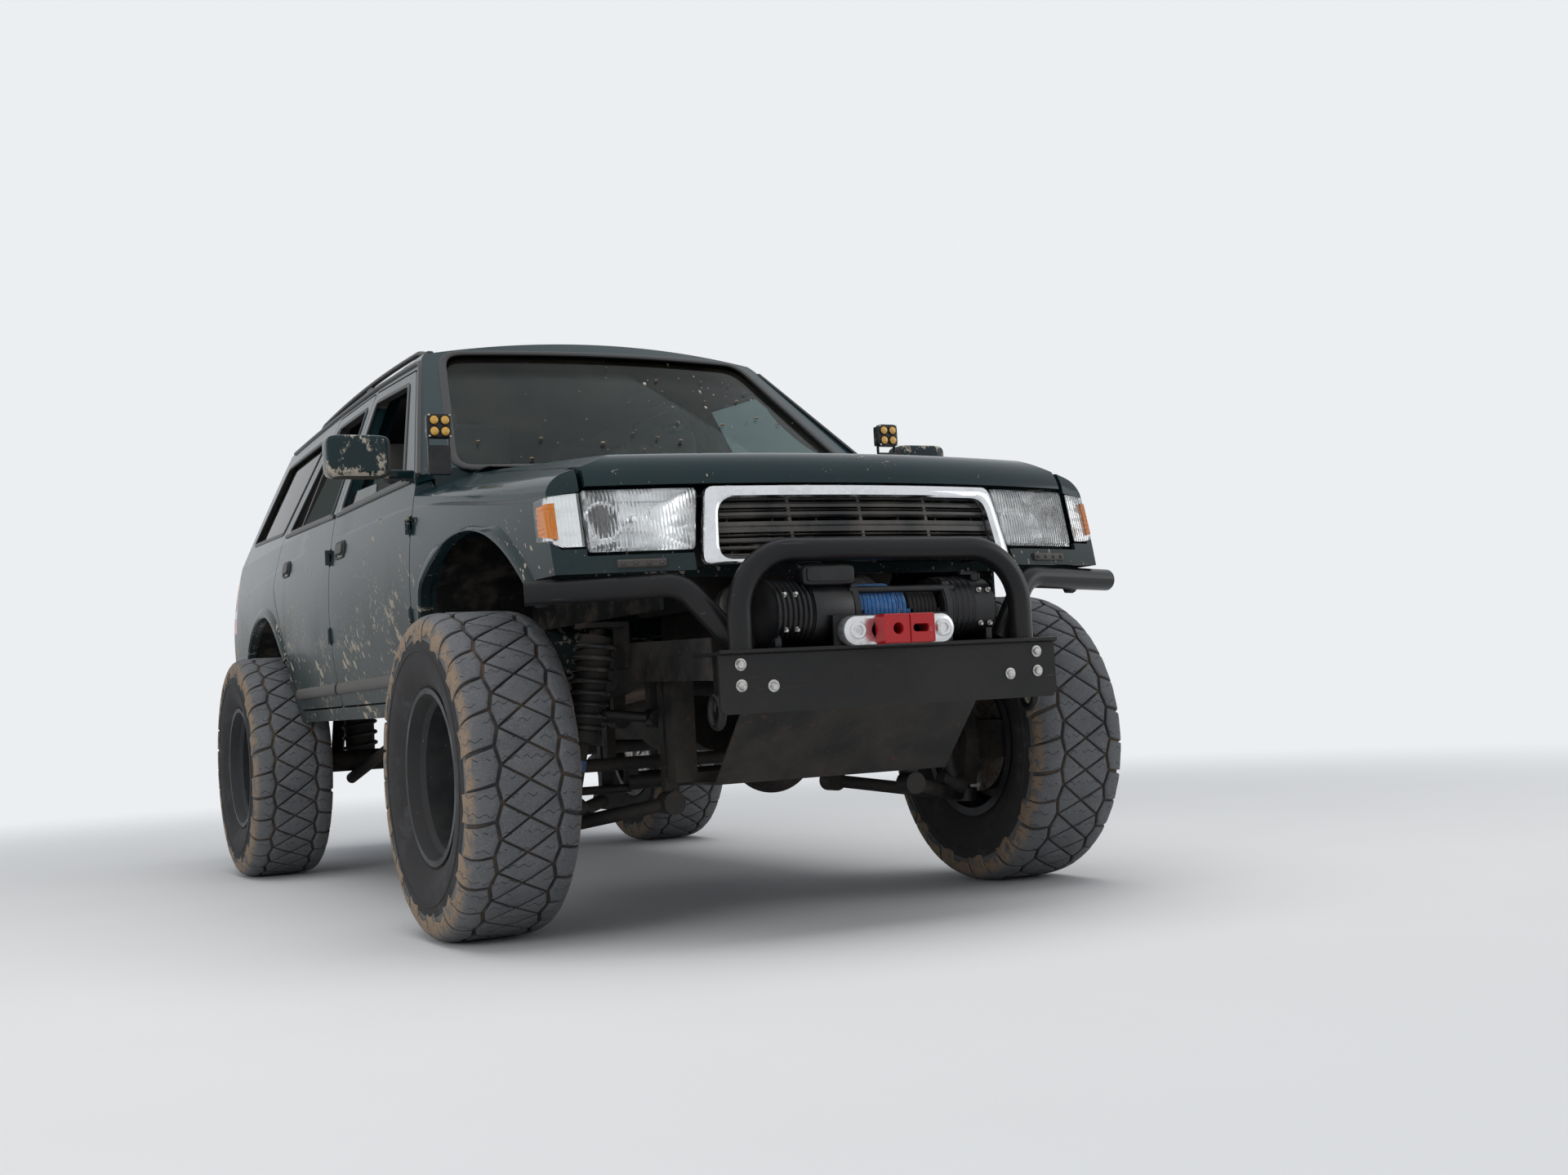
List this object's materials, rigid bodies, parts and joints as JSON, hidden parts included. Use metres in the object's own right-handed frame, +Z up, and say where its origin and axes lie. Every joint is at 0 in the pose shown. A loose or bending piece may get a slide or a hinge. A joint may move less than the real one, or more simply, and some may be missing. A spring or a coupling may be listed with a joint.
{
  "type": "lifted off-road 4x4",
  "caption": "Lifted five-door off-road 4x4 with winch bumper, hoop, cowl lights, wide tyres, opening doors, hood and tailgate, steered front wheels.",
  "frame": {"origin": "on the ground under the middle of the bounding box", "axes": "+X to the vehicle's left, front towards -Y, +Z up"},
  "size_m": [2.124, 4.568, 1.8769],
  "materials": {
    "body_paint": "gloss, dusty",
    "black_paint": "satin",
    "frame_paint": "matte",
    "black_plastic": "matte",
    "grille_plastic": "satin",
    "bright_trim": "polished",
    "glass": "clear",
    "lamp_lens": "fluted",
    "amber_lens": "clear",
    "red_lens": "clear",
    "rim_paint": "satin",
    "tyre": "dusty",
    "steel": "machined",
    "cast": "rough",
    "bright_alloy": "satin",
    "blue_rope": "braided",
    "red_link": "anodised",
    "cabin_plastic": "grained",
    "seat_cloth": "woven"
  },
  "bodies": {
    "chassis": {"body_shell": "body_paint", "dashboard": "cabin_plastic", "driveline": "cast", "engine_block": "cast", "exhaust": "steel", "fairlead": "bright_alloy", "fixed_glass": "glass", "frame": "frame_paint", "front_fenders": "body_paint", "front_lamps": "lamp_lens", "front_suspension": "steel", "fuel_tank": "black_plastic", "grille": "grille_plastic", "grille_surround": "bright_trim", "light_pods": "amber_lens", "rear_axle": "cast", "rear_bumper": "black_paint", "rear_suspension": "steel", "roof_rails": "black_plastic", "rope_link": "red_link", "seats": "seat_cloth", "skid_plate": "steel", "tail_lamps": "red_lens", "winch": "black_paint", "winch_bumper": "black_paint", "winch_rope": "blue_rope", "wipers": "black_plastic"},
    "steering_left": {"knuckle_l": "cast"},
    "steering_right": {"knuckle_r": "cast"},
    "hood": {"hood": "body_paint"},
    "tailgate": {"tailgate": "body_paint", "tailgate_glass": "glass"},
    "wheel_fl": {"tyre_fl": "tyre", "rim_fl": "rim_paint", "hub_fl": "steel"},
    "door_fl": {"door_fl": "body_paint", "door_glass_fl": "glass", "mirror_l": "black_plastic"},
    "wheel_fr": {"tyre_fr": "tyre", "rim_fr": "rim_paint", "hub_fr": "steel"},
    "door_fr": {"door_fr": "body_paint", "door_glass_fr": "glass", "mirror_r": "black_plastic"},
    "wheel_rl": {"tyre_rl": "tyre", "rim_rl": "rim_paint", "hub_rl": "steel"},
    "door_rl": {"door_rl": "body_paint", "door_glass_rl": "glass"},
    "wheel_rr": {"tyre_rr": "tyre", "rim_rr": "rim_paint", "hub_rr": "steel"},
    "door_rr": {"door_rr": "body_paint"}
  },
  "joints": [
    {"name": "steer_left", "type": "hinge", "parent": "chassis", "child": "steering_left", "pos_m": [0.69, -1.416, 0.429], "axis": [0, 0, 1], "range_deg": [-30, 30]},
    {"name": "steer_right", "type": "hinge", "parent": "chassis", "child": "steering_right", "pos_m": [-0.69, -1.416, 0.429], "axis": [0, 0, 1], "range_deg": [-30, 30]},
    {"name": "wheel_fl", "type": "hinge", "parent": "steering_left", "child": "wheel_fl", "pos_m": [0.833, -1.416, 0.429], "axis": [1, 0, 0], "continuous": true},
    {"name": "wheel_fr", "type": "hinge", "parent": "steering_right", "child": "wheel_fr", "pos_m": [-0.833, -1.416, 0.429], "axis": [1, 0, 0], "continuous": true},
    {"name": "wheel_rl", "type": "hinge", "parent": "chassis", "child": "wheel_rl", "pos_m": [0.83, 1.259, 0.429], "axis": [1, 0, 0], "continuous": true},
    {"name": "wheel_rr", "type": "hinge", "parent": "chassis", "child": "wheel_rr", "pos_m": [-0.83, 1.259, 0.429], "axis": [1, 0, 0], "continuous": true},
    {"name": "door_fl", "type": "hinge", "parent": "chassis", "child": "door_fl", "pos_m": [0.83512, -0.859, 1], "axis": [0, 0, -1], "range_deg": [0, 68]},
    {"name": "door_fr", "type": "hinge", "parent": "chassis", "child": "door_fr", "pos_m": [-0.83512, -0.859, 1], "axis": [0, 0, 1], "range_deg": [0, 68]},
    {"name": "door_rl", "type": "hinge", "parent": "chassis", "child": "door_rl", "pos_m": [0.84498, 0.127, 1], "axis": [0, 0, -1], "range_deg": [0, 68]},
    {"name": "door_rr", "type": "hinge", "parent": "chassis", "child": "door_rr", "pos_m": [-0.84498, 0.127, 1], "axis": [0, 0, 1], "range_deg": [0, 68]},
    {"name": "hood", "type": "hinge", "parent": "chassis", "child": "hood", "pos_m": [0, -1.086, 1.29245], "axis": [-1, 0, 0], "range_deg": [0, 50]},
    {"name": "tailgate", "type": "hinge", "parent": "chassis", "child": "tailgate", "pos_m": [0, 1.843, 1.781], "axis": [1, 0, 0], "range_deg": [0, 80]}
  ],
  "couplings": [
    {"joint": "steer_right", "follows": "steer_left", "ratio": 1}
  ]
}
